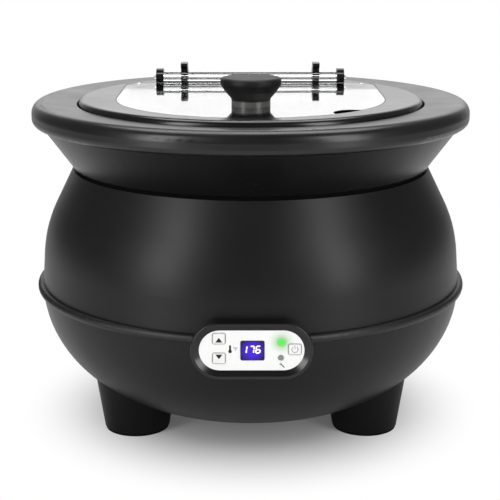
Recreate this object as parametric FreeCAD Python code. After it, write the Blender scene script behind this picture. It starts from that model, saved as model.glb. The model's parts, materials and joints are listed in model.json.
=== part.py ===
import FreeCAD, Part
import math
import os

# Soup kettle: a black casing round a heated water well, with an insert pot and a lid
# that has a clear serving flap. Millimetres, +Z up, the control panel faces -Y.
# The origin is on the floor, on the kettle's axis.

# Lid, brim and pot, from the lid outwards and inwards
lid_radius = 149.5
lid_gap = 1.5
brim_width = 39.0
pot_flange_gap = 1.2
pot_flange_width = 15.8
pot_wall = 1.0
pot_corner = 22.0
pot_edge_radius = 2.0
under_pot = 15.2
well_gap = 4.0
well_wall = 1.2
well_corner = 15.0
well_edge_radius = 3.0
well_edge_gap = 0.5
rest_gap = 0.2

# Rim ring and flared collar
rim_height = 10.6
rim_dish = 3.3
rim_edge_radius = 9.0
rim_wall = 3.0
rim_seam = 1.2
rim_inner_radius = 1.0
boss_radius = 4.4
collar_height = 44.2
collar_wall = 2.0
lip_height = 6.9
lip_width = 8.0
lip_drop = 1.7
lip_radius = 5.5
lip_root_radius = 2.6

# Casings
floor_gap = 13.0
shoulder_rise = 51.5
neck_rise = 102.9
neck_gap = 3.5
neck_space = 17.0
neck_flange = 9.2
belly_swell = 29.6
wall_lean = 4.5
shoulder_radius = 112.0
casing_wall = 1.5
bowl_reach = 127.0
bowl_depth = 108.0
base_flat = 2.0
band_height = 7.6
band_depth = 4.4
seal_recess = 2.7
joint_ring_height = 16.0
joint_ring_wall = 2.0
joint_ring_gap = 0.1

# Base plate and feet
base_plate_thickness = 1.8
base_margin = 3.0
base_flange = 16.0
foot_count = 3
foot_margin = 35.7
foot_radius = 28.4
foot_taper = 8.5
pad_thickness = 2.0
pad_margin = 0.8
foot_screw_depth = 6.0
washer_radius = 8.1
washer_step = 1.5

# Heating
heater_radius = 100.0
heater_thickness = 6.0
element_circle = 72.0
element_radius = 4.0
element_gap_angle = 36.0
terminal_length = 14.0
stud_circle = 88.0
stud_count = 4
stud_length = 6.0
cutout_radius = 9.0
cutout_height = 8.0
tab_width = 5.0
tab_thickness = 0.8
tab_length = 4.0
probe_radius = 2.5
probe_length = 30.0
insulation_thickness = 12.0
wrap_gap = 0.5
wrap_top_gap = 8.0
insulation_slit = 20.0
service_height = 38.8
shield_height = 18.0
shield_radius = 96.0
shield_flare = 5.0
shield_wall = 1.0
spacer_radius = 3.0
spacer_inset = 24.0
probe_gap = 0.1
clip_wall = 1.0
clip_width = 10.0

# Boards and wiring in the base
power_board_width = 76.0
power_board_depth = 46.0
power_board_y = 14.0
power_board_corner = 2.0
standoff_height = 4.0
standoff_inset = 5.0
relay_width = 19.0
relay_depth = 15.0
relay_height = 11.0
relay_x = -18.0
block_width = 44.0
block_depth = 16.0
block_height = 13.0
block_y = -34.0
block_corner = 1.0
clamp_place = 15.0
clamp_depth = 6.0
lead_radius = 1.6
lead_bend = 4.0

# Control panel
bezel_width = 94.0
bezel_height = 45.4
bezel_border = 6.7
bezel_face = 2.4
panel_proud = 9.2
panel_drop = 5.8
plate_recess = 2.6
plate_thickness = 1.2
plate_ledge = 1.0
board_gap = 7.2
board_thickness = 1.6
key_width = 10.0
key_height = 8.8
key_proud = 0.5
key_corner = 1.8
key_stem = 2.0
key_travel = 0.6
display_width = 18.5
display_height = 15.9
led_radius = 2.3
lens_height = 1.0
switch_side = 5.0
switch_height = 3.2
board_edge_gap = 0.6
bezel_edge_radius = 1.2
bezel_root = 28.0
window_proud = 0.3
window_corner = 1.5
spacer_post_radius = 2.0

# Lid frame, flap and hinge
lid_height = 10.5
lid_thickness = 6.0
lid_wall = 4.0
lid_edge_radius = 5.0
skirt_depth = 10.0
skirt_wall = 2.5
skirt_gap = 1.5
lid_side_margin = 33.5
lid_front_margin = 17.9
lid_back_margin = 55.9
gasket_width = 4.0
gasket_gap = 0.5
flap_thickness = 3.0
flap_corner = 18.0
flap_edge_gap = 0.6
flap_ledge = 8.0
opening_corner = 30.0
opening_back_step = 9.1
notch_angle = -47.0
notch_radius = 17.0
notch_depth = 11.4
barrel_radius = 4.75
barrel_lift = 0.35
barrel_gap = 0.3
web_width = 3.5
pin_radius = 1.5
pin_overhang = 1.6
bracket_inset = 34.0
bracket_width = 6.8
bracket_height = 12.5
bracket_length = 13.5
bracket_gap = 0.4
bracket_chamfer = 4.0
eye_gap = 0.05
stop_spacing = 19.5
stop_width = 6.3
stop_height = 17.9
stop_length = 25.0
stop_lean = 4.5
stop_gap = 1.2
stop_toe = 4.0
horn_height = 3.0

# Knob
knob_setback = 69.6
knob_radius = 25.3
knob_neck = 16.2
knob_height = 19.1
knob_rim = 5.9
knob_edge = 3.2
knob_belly = 21.8
knob_belly_height = 7.8
knob_collar_height = 4.5
knob_foot = 1.4
knob_screw_depth = 8.0

# Fits and fasteners
running_fit = 0.05
key_fit = 0.3
hole_fit = 0.25
screw_radius = 1.75
bolt_radius = 2.0
foot_screw_radius = 3.0
fastener_count = 6
screw_head = 2.2
base_screw_head = 1.6
screw_bite = 4.0
bolt_head = 3.0
bolt_spare = 1.3
nut_height = 3.2
heater_nut_height = 3.5
foot_screw_head = 4.0

# Cord gland
gland_drop = 25.0
gland_thread = 8.0
gland_bore = 4.6
gland_flange = 12.0
gland_flange_height = 5.0
gland_nut_height = 5.0
gland_nut_radius = 11.6
gland_dome_radius = 9.8
gland_mouth_radius = 7.2

# Radii worked out from the lid outwards
brim_inner = lid_radius + lid_gap
rim_radius = brim_inner + brim_width
pot_flange_radius = brim_inner - pot_flange_gap
pot_outer = pot_flange_radius - pot_flange_width
pot_inner = pot_outer - pot_wall
well_inner = pot_outer + well_gap
well_outer = well_inner + well_wall
neck_radius = well_outer + neck_space
belly_radius = neck_radius + belly_swell
neck_flange_radius = neck_radius - neck_flange
bolt_circle = neck_flange_radius + (neck_flange - seal_recess) / 2.0
bowl_centre = belly_radius - bowl_reach

# Heights worked out from the floor upwards
belt_z = floor_gap + bowl_depth
base_z = floor_gap + base_flat
shoulder_z = belt_z + shoulder_rise
shoulder_r = belly_radius - shoulder_rise * math.tan(math.radians(wall_lean))
neck_z = belt_z + neck_rise
collar_z = neck_z + neck_gap
collar_top = collar_z + collar_height
well_top = collar_top + well_wall
well_floor = base_z + service_height
well_bottom = well_floor - well_wall
pot_seat = well_top + rest_gap
pot_top = pot_seat + pot_wall
pot_floor = well_floor + under_pot + pot_wall
lid_seat = pot_top + rest_gap
lid_top = pot_top + lid_height
flap_top = lid_top
flap_bottom = flap_top - flap_thickness
ledge_top = flap_bottom - rest_gap
flap_half_width = lid_radius - lid_side_margin
flap_back = lid_radius - lid_back_margin
window_centre = lid_front_margin + flap_half_width - lid_radius
window_back = flap_back - opening_back_step
bracket_inner = flap_half_width - bracket_inset
stop_place = bracket_inner - stop_spacing
knob_y = window_centre - flap_half_width + knob_setback
axis_y = flap_back - flap_edge_gap
axis_z = lid_top + barrel_lift + barrel_radius
base_plate_z = base_z - base_plate_thickness
bowl_foot = bowl_centre + bowl_reach * math.sqrt(1.0 - ((bowl_depth - base_flat) / bowl_depth) ** 2)
base_plate_radius = bowl_foot - base_margin
base_opening = base_plate_radius - base_flange
foot_circle = base_plate_radius + foot_margin
shield_z = base_z + shield_height
heater_bottom = well_bottom - heater_thickness
element_z = heater_bottom - element_radius

# Panel planes, measured along -Y, and the panel's centre
panel_front = belly_radius + panel_proud
plate_front = panel_front - plate_recess
plate_back = plate_front - plate_thickness
board_front = plate_back - board_gap
board_back = board_front - board_thickness
panel_z = belt_z - panel_drop
plate_width = bezel_width - 2.0 * bezel_border
plate_height = bezel_height - 2.0 * bezel_border
hole_width = plate_width - 2.0 * plate_ledge
hole_height = plate_height - 2.0 * plate_ledge

# Places on the panel, right and up from its centre
key_places = {"up_key": (-25.0, 9.6), "down_key": (-25.0, -6.2), "power_key": (33.0, 0.9)}
led_places = {"ready_light": (22.8, 6.6), "service_light": (22.3, -5.8)}
display_place = (0.6, 0.0)
spacer_places = [(-14.5, 9.0), (-14.5, -9.0), (16.0, 9.0), (16.0, -9.0)]

vec = FreeCAD.Vector
planes = {
    "xz": lambda a, b, n: vec(a, n, b),
    "xy": lambda a, b, n: vec(a, b, n),
    "yz": lambda a, b, n: vec(n, a, b),
}
normals = {"xz": vec(0, 1, 0), "xy": vec(0, 0, 1), "yz": vec(1, 0, 0)}


# A closed outline of straight sides, with the given corner radii, as a face
def outline(points, radii=None, plane="xz", level=0.0):
    radii = radii or {}
    corners = [planes[plane](a, b, level) for a, b in points]
    starts, ends, arcs = [], [], []
    for i, corner in enumerate(corners):
        radius = radii.get(i, 0.0)
        if radius <= 0.0:
            starts.append(corner)
            ends.append(corner)
            arcs.append(None)
            continue
        back = (corners[i - 1] - corner).normalize()
        ahead = (corners[(i + 1) % len(corners)] - corner).normalize()
        half = back.getAngle(ahead) / 2.0
        reach = radius / math.tan(half)
        middle = (back + ahead).normalize() * (radius / math.sin(half) - radius)
        starts.append(corner + back * reach)
        ends.append(corner + ahead * reach)
        arcs.append(Part.Arc(starts[i], corner + middle, ends[i]).toShape())
    edges = []
    for i, arc in enumerate(arcs):
        if arc:
            edges.append(arc)
        follow = starts[(i + 1) % len(corners)]
        if ends[i].distanceToPoint(follow) > 1e-6:
            edges.append(Part.makeLine(ends[i], follow))
    return Part.Face(Part.Wire(edges))


# A solid turned about the kettle's axis
def turned(points, radii=None):
    return outline(points, radii).revolve(vec(0, 0, 0), vec(0, 0, 1), 360)


# A straight prism on an outline, from one level to another
def prism(points, radii, plane, start, end):
    return outline(points, radii, plane, start).extrude(normals[plane] * (end - start))


# The line through two points, moved sideways to its left
def beside(start, end, distance):
    length = math.hypot(end[0] - start[0], end[1] - start[1])
    across = (-(end[1] - start[1]) / length * distance, (end[0] - start[0]) / length * distance)
    return (start[0] + across[0], start[1] + across[1]), (end[0] + across[0], end[1] + across[1])


# Where two lines cross
def crossing(first, second):
    (ax, az), (bx, bz) = first
    (cx, cz), (dx, dz) = second
    turn = (bx - ax) * (dz - cz) - (bz - az) * (dx - cx)
    share = ((cx - ax) * (dz - cz) - (cz - az) * (dx - cx)) / turn
    return ax + share * (bx - ax), az + share * (bz - az)


# Turned sheet: the path gives one side, the wall lies to the left of its travel
def turned_sheet(path, radii, wall):
    sides = [beside(path[i], path[i + 1], wall) for i in range(len(path) - 1)]
    inner = [sides[0][0]]
    inner += [crossing(sides[i], sides[i + 1]) for i in range(len(sides) - 1)]
    inner.append(sides[-1][1])
    all_radii = dict(radii)
    for i, radius in radii.items():
        before = (path[i][0] - path[i - 1][0], path[i][1] - path[i - 1][1])
        after = (path[i + 1][0] - path[i][0], path[i + 1][1] - path[i][1])
        left_turn = before[0] * after[1] - before[1] * after[0] > 0
        all_radii[2 * len(path) - 1 - i] = radius - wall if left_turn else radius + wall
    return turned(path + inner[::-1], all_radii)


# A plain rectangle, centred, as corner points
def rectangle(width, height, centre=(0.0, 0.0)):
    x, z = width / 2.0, height / 2.0
    return [(centre[0] + a * x, centre[1] + b * z) for a, b in ((-1, -1), (1, -1), (1, 1), (-1, 1))]


# A prism with equally rounded corners, facing along Y
def rounded_block(width, height, corner, centre, front, back):
    radii = {i: corner for i in range(4)}
    return prism(rectangle(width, height, centre), radii, "xz", -front, -back)


# A stadium-shaped prism on the panel
def stadium(width, height, front, back):
    return rounded_block(width, height, height / 2.0, (0.0, panel_z), front, back)


# A round bar between two points
def bar(radius, start, end):
    along = end - start
    return Part.makeCylinder(radius, along.Length, start, along)


# A ring standing on a level
def ring(outer, inner, bottom, top):
    return turned([(inner, bottom), (outer, bottom), (outer, top), (inner, top)])


# Points round the axis, the first at the given angle
def around(circle, count, first_angle=0.0):
    angles = [math.radians(first_angle + 360.0 * i / count) for i in range(count)]
    return [(circle * math.cos(a), circle * math.sin(a)) for a in angles]


# Upright bars at several places
def posts(places, radius, bottom, top):
    return Part.makeCompound([bar(radius, vec(x, y, bottom), vec(x, y, top)) for x, y in places])


# Screws with round heads; a head above its seat has a positive height
def screws(places, radius, seat, head_height, tip):
    pieces = []
    for x, y in places:
        head = bar(1.8 * radius, vec(x, y, seat), vec(x, y, seat + head_height))
        pieces.append(head.fuse(bar(radius, vec(x, y, seat), vec(x, y, tip))).removeSplitter())
    return Part.makeCompound(pieces)


# Six-sided nuts with their holes
def nuts(places, radius, bottom, top):
    pieces = []
    for x, y in places:
        corners = [(x + cx, y + cy) for cx, cy in around(2.0 * radius, 6)]
        body = prism(corners, None, "xy", bottom, top)
        pieces.append(body.cut(bar(radius, vec(x, y, bottom), vec(x, y, top))))
    return Part.makeCompound(pieces)


# Height of the bowl's surface at a radius, moved inwards by an inset
def bowl_height(radius, inset=0.0):
    share = (radius - bowl_centre) / (bowl_reach - inset)
    return belt_z - (bowl_depth - inset) * math.sqrt(1.0 - share ** 2)


# The bowl as a full solid, moved inwards by an inset, with a flat bottom
def bowl_solid(inset=0.0):
    bottom = base_z + inset
    reach, depth = bowl_reach - inset, bowl_depth - inset
    foot = bowl_centre + reach * math.sqrt(1.0 - ((belt_z - bottom) / depth) ** 2)
    middle = bowl_centre + reach * math.cos(math.pi / 4.0)
    middle_z = belt_z - depth * math.sin(math.pi / 4.0)
    centre = vec(bowl_centre, 0, belt_z)
    if reach >= depth:
        curve = Part.Ellipse(centre + vec(reach, 0, 0), centre + vec(0, 0, depth), centre)
    else:
        curve = Part.Ellipse(centre + vec(0, 0, depth), centre + vec(reach, 0, 0), centre)
    ends = [curve.parameter(vec(foot, 0, bottom)), curve.parameter(centre + vec(reach, 0, 0))]
    side = curve.toShape(min(ends), max(ends))
    if side.distToShape(Part.Vertex(middle, 0, middle_z))[0] > 0.01:
        side = curve.toShape(max(ends), min(ends) + 2.0 * math.pi)
    corners = [vec(bowl_centre + reach, 0, belt_z), vec(0, 0, belt_z)]
    corners += [vec(0, 0, bottom), vec(foot, 0, bottom)]
    edges = [side] + [Part.makeLine(corners[i], corners[i + 1]) for i in range(3)]
    face = Part.Face(Part.Wire(Part.__sortEdges__(edges)))
    return face.revolve(vec(0, 0, 0), vec(0, 0, 1), 360)


# Both casings together as one full solid, for seating what stands on them
def casing_solid():
    points = [(0.0, belt_z), (belly_radius, belt_z), (shoulder_r, shoulder_z)]
    points += [(neck_radius, neck_z), (0.0, neck_z)]
    return bowl_solid().fuse(turned(points, {2: shoulder_radius})).removeSplitter()


whole_casing = casing_solid()
panel_opening = stadium(hole_width, hole_height, panel_front, well_outer + insulation_thickness)
neck_places = around(bolt_circle, fastener_count, 30.0)
rim_screw_circle = (brim_inner + rim_radius) / 2.0
rim_places = around(rim_screw_circle, fastener_count, 0.0)
foot_places = around(foot_circle, foot_count, 90.0)
base_screw_places = around(base_opening + base_flange / 2.0, fastener_count, 30.0)
stud_places = around(stud_circle, stud_count, 45.0)
gland_z = belt_z - gland_drop


def upper_casing():
    path = [(belly_radius, belt_z), (shoulder_r, shoulder_z)]
    path += [(neck_radius, neck_z), (neck_flange_radius, neck_z)]
    shell = turned_sheet(path, {1: shoulder_radius}, casing_wall)
    holes = posts(neck_places, bolt_radius + hole_fit, neck_z - 2.0 * casing_wall, neck_z + casing_wall)
    below = bar(belly_radius, vec(0, 0, belt_z - casing_wall), vec(0, 0, belt_z))
    return shell.cut(holes).cut(below).cut(panel_opening)


def lower_casing():
    shell = bowl_solid().cut(bowl_solid(casing_wall))
    shell = shell.cut(bar(base_opening, vec(0, 0, 0), vec(0, 0, base_z + casing_wall)))
    shell = shell.cut(posts(foot_places, foot_screw_radius + hole_fit, 0.0, belt_z))
    shell = shell.cut(posts(base_screw_places, screw_radius + hole_fit, 0.0, belt_z / 2.0))
    gland_hole = bar(gland_thread + hole_fit, vec(0, well_outer, gland_z), vec(0, panel_front, gland_z))
    return shell.cut(gland_hole).cut(panel_opening)


# Rounded bead over the joint, ending against the bezel
def belly_band():
    low, high = belt_z - band_height / 2.0, belt_z + band_height / 2.0
    outer = belly_radius + band_depth
    inner = belly_radius - band_depth
    corner = 0.45 * band_height
    bead = turned([(inner, low), (outer, low), (outer, high), (inner, high)], {1: corner, 2: corner})
    return bead.cut(whole_casing).cut(stadium(bezel_width, bezel_height, panel_front, well_outer))


def casing_joint_ring():
    lean = math.radians(wall_lean)
    half = joint_ring_height / 2.0
    outer = belly_radius - casing_wall / math.cos(lean) - half * math.tan(lean) - joint_ring_gap
    band = ring(outer, outer - joint_ring_wall, belt_z - half, belt_z + half)
    return band.cut(panel_opening)


def neck_seal():
    body = ring(neck_radius - seal_recess, neck_flange_radius, neck_z, collar_z)
    return body.cut(posts(neck_places, bolt_radius + hole_fit, neck_z, collar_z))


def flared_collar():
    lip_z = collar_top - lip_height
    path = [(neck_flange_radius, collar_z), (neck_radius, collar_z)]
    path += [(rim_radius - lip_width, lip_z - lip_drop), (rim_radius - lip_width, collar_top)]
    path += [(brim_inner + rim_wall, collar_top)]
    shell = turned_sheet(path, {2: lip_root_radius}, collar_wall)
    shell = shell.cut(posts(neck_places, bolt_radius + hole_fit, collar_z, collar_z + collar_wall))
    return shell.cut(posts(rim_places, screw_radius + hole_fit, collar_top - collar_wall, collar_top))


# Moulded ring on the well's flange, rolled over the collar's top, with bosses for its screws
def rim_ring():
    crest = well_top + rim_height
    lip_z = collar_top - lip_height
    path = [(rim_radius - lip_width + rim_seam, lip_z - lip_drop), (rim_radius, lip_z), (rim_radius, crest)]
    path += [(brim_inner, crest - rim_dish), (brim_inner, well_top)]
    shell = turned_sheet(path, {1: lip_radius, 2: rim_edge_radius, 3: rim_inner_radius}, rim_wall)
    roof = crest - rim_dish - rim_wall + rim_dish / 2.0
    bosses = posts(rim_places, boss_radius, well_top, roof + rim_wall / 2.0)
    solid = shell.fuse(bosses.Solids).removeSplitter()
    return solid.cut(posts(rim_places, screw_radius, well_top, roof - 0.5))


def rim_screws():
    tip = well_top + rim_height - rim_dish - rim_wall
    return screws(rim_places, screw_radius, collar_top - collar_wall, -screw_head, tip)


def neck_bolts():
    tip = collar_z + collar_wall + nut_height + bolt_spare
    return screws(neck_places, bolt_radius, neck_z - casing_wall, -bolt_head, tip)


def neck_nuts():
    bottom = collar_z + collar_wall
    return nuts(neck_places, bolt_radius, bottom, bottom + nut_height)


# Deep-drawn well with the heater's studs welded under it
def water_well():
    edge = rim_radius - lip_width - well_edge_gap
    path = [(edge, well_top), (well_inner, well_top), (well_inner, well_floor), (0.0, well_floor)]
    shell = turned_sheet(path, {1: well_edge_radius, 2: well_corner}, well_wall)
    studs = posts(stud_places, bolt_radius, heater_bottom - stud_length, well_bottom)
    shell = shell.fuse(studs.Solids).removeSplitter()
    return shell.cut(posts(rim_places, screw_radius + hole_fit, collar_top, well_top))


def insulation_wrap():
    inner = well_outer + wrap_gap
    body = ring(inner + insulation_thickness, inner, well_floor + well_corner, neck_z - wrap_top_gap)
    points = rectangle(insulation_slit, belly_radius, (0.0, -belly_radius / 2.0))
    slit = prism(points, None, "xy", 0.0, neck_z)
    return body.cut(slit)


def heater_plate():
    disc = bar(heater_radius, vec(0, 0, heater_bottom), vec(0, 0, well_bottom))
    return disc.cut(posts(stud_places, bolt_radius + hole_fit, heater_bottom, well_bottom))


# Ring of tube under the plate, open at the front, with its two end terminals
def heating_element():
    start = -90.0 + element_gap_angle / 2.0
    circle = Part.makeCircle(element_radius, vec(element_circle, 0, element_z), vec(0, 1, 0))
    section = Part.Face(Part.Wire(circle))
    section.rotate(vec(0, 0, 0), vec(0, 0, 1), start)
    tube = section.revolve(vec(0, 0, 0), vec(0, 0, 1), 360.0 - element_gap_angle)
    for x, y in terminal_places():
        end = Part.makeSphere(element_radius, vec(x, y, element_z))
        terminal = bar(bolt_radius, vec(x, y, element_z - terminal_length), vec(x, y, element_z))
        tube = tube.fuse([end, terminal])
    return tube.removeSplitter()


def terminal_places():
    angles = [math.radians(-90.0 + side * element_gap_angle / 2.0) for side in (-1, 1)]
    return [(element_circle * math.cos(a), element_circle * math.sin(a)) for a in angles]


def heater_nuts():
    return nuts(stud_places, bolt_radius, heater_bottom - heater_nut_height, heater_bottom)


def thermal_cutout():
    body = bar(cutout_radius, vec(0, 0, heater_bottom - cutout_height), vec(0, 0, heater_bottom))
    for side in (-1, 1):
        x = side * cutout_radius / 2.0
        low = heater_bottom - cutout_height - tab_length
        points = rectangle(tab_width, tab_thickness, (x, 0.0))
        body = body.fuse(prism(points, None, "xy", low, low + tab_length))
    return body.removeSplitter()


probe_y = -(well_outer + probe_radius + probe_gap)
probe_z = belt_z - probe_length


def temperature_probe():
    return bar(probe_radius, vec(0, probe_y, probe_z), vec(0, probe_y, probe_z + probe_length))


# Spring clip on the well's wall round the probe
def probe_clip():
    low, high = probe_z + probe_length / 3.0, probe_z + probe_length * 2.0 / 3.0
    front = -probe_y + probe_radius + clip_wall
    middle = (front + well_outer) / 2.0
    points = rectangle(clip_width, front - well_outer + 2.0 * clip_wall, (0.0, -middle))
    block = prism(points, None, "xy", low, high)
    block = block.common(bar(front, vec(0, 0, low), vec(0, 0, high)))
    block = block.cut(bar(well_outer, vec(0, 0, low), vec(0, 0, high)))
    return block.cut(bar(probe_radius, vec(0, probe_y, low), vec(0, probe_y, high)))


shield_places = around(base_plate_radius - spacer_inset, 3, 90.0)


# Shallow dish between the heater and the boards
def heat_shield():
    edge = shield_radius + shield_flare
    path = [(0.0, shield_z), (shield_radius, shield_z), (edge, shield_z + shield_flare)]
    dish = turned_sheet(path, {}, shield_wall)
    return dish.cut(posts(terminal_places(), 2.0 * element_radius, 0.0, well_bottom))


def shield_spacers():
    return posts(shield_places, spacer_radius, base_z, shield_z)


def base_plate():
    disc = bar(base_plate_radius, vec(0, 0, base_plate_z), vec(0, 0, base_z))
    return disc.cut(posts(base_screw_places, screw_radius + hole_fit, 0.0, base_z))


def base_screws():
    tip = base_z + casing_wall + screw_bite
    return screws(base_screw_places, screw_radius, base_plate_z, -base_screw_head, tip)


power_board_z = base_z + standoff_height
power_board_top = power_board_z + board_thickness


def power_board():
    points = rectangle(power_board_width, power_board_depth, (0.0, power_board_y))
    return prism(points, {i: power_board_corner for i in range(4)}, "xy", power_board_z, power_board_top)


def board_standoffs():
    inset = 2.0 * standoff_inset
    points = rectangle(power_board_width - inset, power_board_depth - inset, (0.0, power_board_y))
    return posts(points, spacer_radius, base_z, power_board_z)


def heater_relay():
    points = rectangle(relay_width, relay_depth, (relay_x, power_board_y))
    top = power_board_top + relay_height
    return prism(points, {i: block_corner for i in range(4)}, "xy", power_board_top, top)


block_front = block_y - block_depth / 2.0
clamp_z = base_z + block_height / 2.0


def terminal_block():
    points = rectangle(block_width, block_depth, (0.0, block_y))
    body = prism(points, {i: block_corner for i in range(4)}, "xy", base_z, base_z + block_height)
    for side in (-1, 1):
        mouth = vec(side * clamp_place, block_front, clamp_z)
        body = body.cut(bar(lead_radius + hole_fit, mouth, mouth + vec(0, clamp_depth, 0)))
    return body


# A line through points with its bends rounded
def bent_line(points, radius):
    edges, start = [], points[0]
    for i in range(1, len(points) - 1):
        back = (points[i - 1] - points[i]).normalize()
        ahead = (points[i + 1] - points[i]).normalize()
        half = back.getAngle(ahead) / 2.0
        enter = points[i] + back * (radius / math.tan(half))
        leave = points[i] + ahead * (radius / math.tan(half))
        middle = points[i] + (back + ahead).normalize() * (radius / math.sin(half) - radius)
        edges += [Part.makeLine(start, enter), Part.Arc(enter, middle, leave).toShape()]
        start = leave
    edges.append(Part.makeLine(start, points[-1]))
    return Part.Wire(edges)


# Two insulated leads from the element's terminals into the front of the block
def heater_leads():
    leads = []
    for (x, y), side in zip(terminal_places(), (-1, 1)):
        top = vec(x, y, element_z - terminal_length)
        mouth = vec(side * clamp_place, block_front, clamp_z)
        route = [top, vec(x, y, clamp_z), mouth - vec(0, 2.0 * lead_bend, 0), mouth + vec(0, clamp_depth, 0)]
        ring_wire = Part.Wire(Part.makeCircle(lead_radius, top, vec(0, 0, 1)))
        leads.append(bent_line(route, lead_bend).makePipeShell([ring_wire], True, True))
    return Part.makeCompound(leads)


# Tapered foot, cut to the bowl above it
def foot(place):
    x, y = place
    rise = belt_z - pad_thickness
    top = foot_radius + rise * math.tan(math.radians(foot_taper))
    body = Part.makeCone(foot_radius, top, rise, vec(x, y, pad_thickness))
    body = body.cut(whole_casing)
    body = max(body.Solids, key=lambda piece: -piece.BoundBox.ZMin)
    return body.cut(bar(foot_screw_radius, vec(x, y, pad_thickness + foot_screw_depth), vec(x, y, belt_z)))


def foot_pads():
    return posts(foot_places, foot_radius - pad_margin, 0.0, pad_thickness)


washer_top = bowl_height(foot_circle + washer_radius, casing_wall) + washer_step


# Wedge washers that give the foot screws a level seat on the bowl
def foot_washers():
    body = posts(foot_places, washer_radius, base_z, washer_top).common(bowl_solid(casing_wall))
    return Part.makeCompound(body.cut(posts(foot_places, foot_screw_radius + hole_fit, 0.0, belt_z)).Solids)


def foot_screws():
    tip = pad_thickness + foot_screw_depth
    return screws(foot_places, foot_screw_radius, washer_top, foot_screw_head, tip)


# Frame round the panel, seated on the casing, sloping inwards to the plate
def panel_bezel():
    body = stadium(bezel_width, bezel_height, panel_front, belly_radius - bezel_root).cut(whole_casing)
    front_edges = [e for e in body.Edges if abs(e.BoundBox.YMax + panel_front) < 0.01]
    body = body.makeFillet(bezel_edge_radius, front_edges)
    mouth = stadium(bezel_width - 2.0 * bezel_face, bezel_height - 2.0 * bezel_face, panel_front, plate_front)
    throat = stadium(plate_width, plate_height, plate_front, plate_back)
    slope = Part.makeLoft([max(mouth.Faces, key=lambda f: -f.CenterOfMass.y).OuterWire,
                           max(throat.Faces, key=lambda f: -f.CenterOfMass.y).OuterWire], True, True)
    return body.cut(slope).cut(throat).cut(panel_opening)


def panel_point(place):
    return place[0], panel_z + place[1]


# A block the size of the display's window
def window_block(front, back):
    centre = panel_point(display_place)
    return rounded_block(display_width, display_height, window_corner, centre, front, back)


def control_plate():
    plate = stadium(plate_width, plate_height, plate_front, plate_back)
    plate = plate.cut(window_block(plate_front, plate_back))
    width, height = key_width + 2.0 * key_fit, key_height + 2.0 * key_fit
    corner = key_corner + key_fit
    for place in key_places.values():
        plate = plate.cut(rounded_block(width, height, corner, panel_point(place), plate_front, plate_back))
    for place in led_places.values():
        x, z = panel_point(place)
        plate = plate.cut(bar(led_radius, vec(x, -plate_front, z), vec(x, -plate_back, z)))
    return plate


def display_window():
    return window_block(plate_front + window_proud, plate_back)


def display_module():
    return window_block(plate_back, board_front)


# Lamp body through the plate, with a rounded lens
def panel_light(place):
    x, z = panel_point(place)
    tip = plate_front + lens_height
    body = bar(led_radius, vec(x, -board_front, z), vec(x, -tip, z))
    return body.makeFillet(lens_height, [e for e in body.Edges if e.BoundBox.YMax < 0.01 - tip])


def control_board():
    gap = 2.0 * board_edge_gap
    return stadium(hole_width - gap, hole_height - gap, board_front, board_back)


def board_spacers():
    pieces = []
    for place in spacer_places:
        x, z = panel_point(place)
        pieces.append(bar(spacer_post_radius, vec(x, -plate_back, z), vec(x, -board_front, z)))
    return Part.makeCompound(pieces)


switch_top = board_front + switch_height


def key_switches():
    side, corner = switch_side, switch_side / 10.0
    places = [panel_point(place) for place in key_places.values()]
    return Part.makeCompound([rounded_block(side, side, corner, p, switch_top, board_front) for p in places])


# Key cap in the plate, with a stem towards its switch
def key(place):
    x, z = panel_point(place)
    cap = rounded_block(key_width, key_height, key_corner, (x, z), plate_front + key_proud, plate_back)
    stem = bar(key_stem, vec(x, -plate_back, z), vec(x, -(switch_top + key_travel + rest_gap), z))
    return cap.fuse(stem).removeSplitter()


# Radius of the bowl's surface at a height
def bowl_radius(height):
    return bowl_centre + bowl_reach * math.sqrt(1.0 - ((belt_z - height) / bowl_depth) ** 2)


gland_seat = bowl_radius(gland_z)
gland_inside = gland_seat - casing_wall - 2.0 * gland_nut_height


# Gland body: thread through the bowl, flange and dome outside it, bore for a cord
def cord_gland():
    step = gland_seat + gland_flange_height
    corners = [(x, gland_z + z) for x, z in around(gland_flange, 6)]
    flange = prism(corners, None, "xz", gland_inside, step).cut(whole_casing)
    length = panel_front - step
    dome = Part.makeCone(gland_dome_radius, gland_mouth_radius, length, vec(0, step, gland_z), vec(0, 1, 0))
    thread = bar(gland_thread, vec(0, gland_inside, gland_z), vec(0, step, gland_z))
    body = flange.fuse([dome, thread]).removeSplitter()
    return body.cut(bar(gland_bore, vec(0, gland_inside, gland_z), vec(0, panel_front, gland_z)))


def gland_nut():
    corners = [(x, gland_z + z) for x, z in around(gland_nut_radius, 6)]
    front = gland_seat - casing_wall - 1.4 * gland_nut_height
    body = prism(corners, None, "xz", front, gland_seat).common(bowl_solid(casing_wall))
    return body.cut(bar(gland_thread, vec(0, gland_inside, gland_z), vec(0, gland_seat, gland_z)))


# Soup pot with a flat flange that hangs on the well
def insert_pot():
    path = [(pot_flange_radius, pot_top), (pot_inner, pot_top), (pot_inner, pot_floor), (0.0, pot_floor)]
    return turned_sheet(path, {1: pot_edge_radius, 2: pot_corner}, pot_wall)


# Rounded-front outline of the flap and of the openings under it, seen from above
def flap_outline(half_width, back, corner, bottom, top):
    front = window_centre - half_width
    points = [(-half_width, front), (half_width, front), (half_width, back), (-half_width, back)]
    return prism(points, {0: half_width, 1: half_width, 2: corner, 3: corner}, "xy", bottom, top)


# Rounded bite for a ladle's handle, at the front right
def ladle_notch(bottom, top):
    angle = math.radians(notch_angle)
    reach = flap_half_width - flap_edge_gap - notch_depth + notch_radius
    x, y = reach * math.cos(angle), window_centre + reach * math.sin(angle)
    return bar(notch_radius, vec(x, y, bottom), vec(x, y, top))


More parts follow.
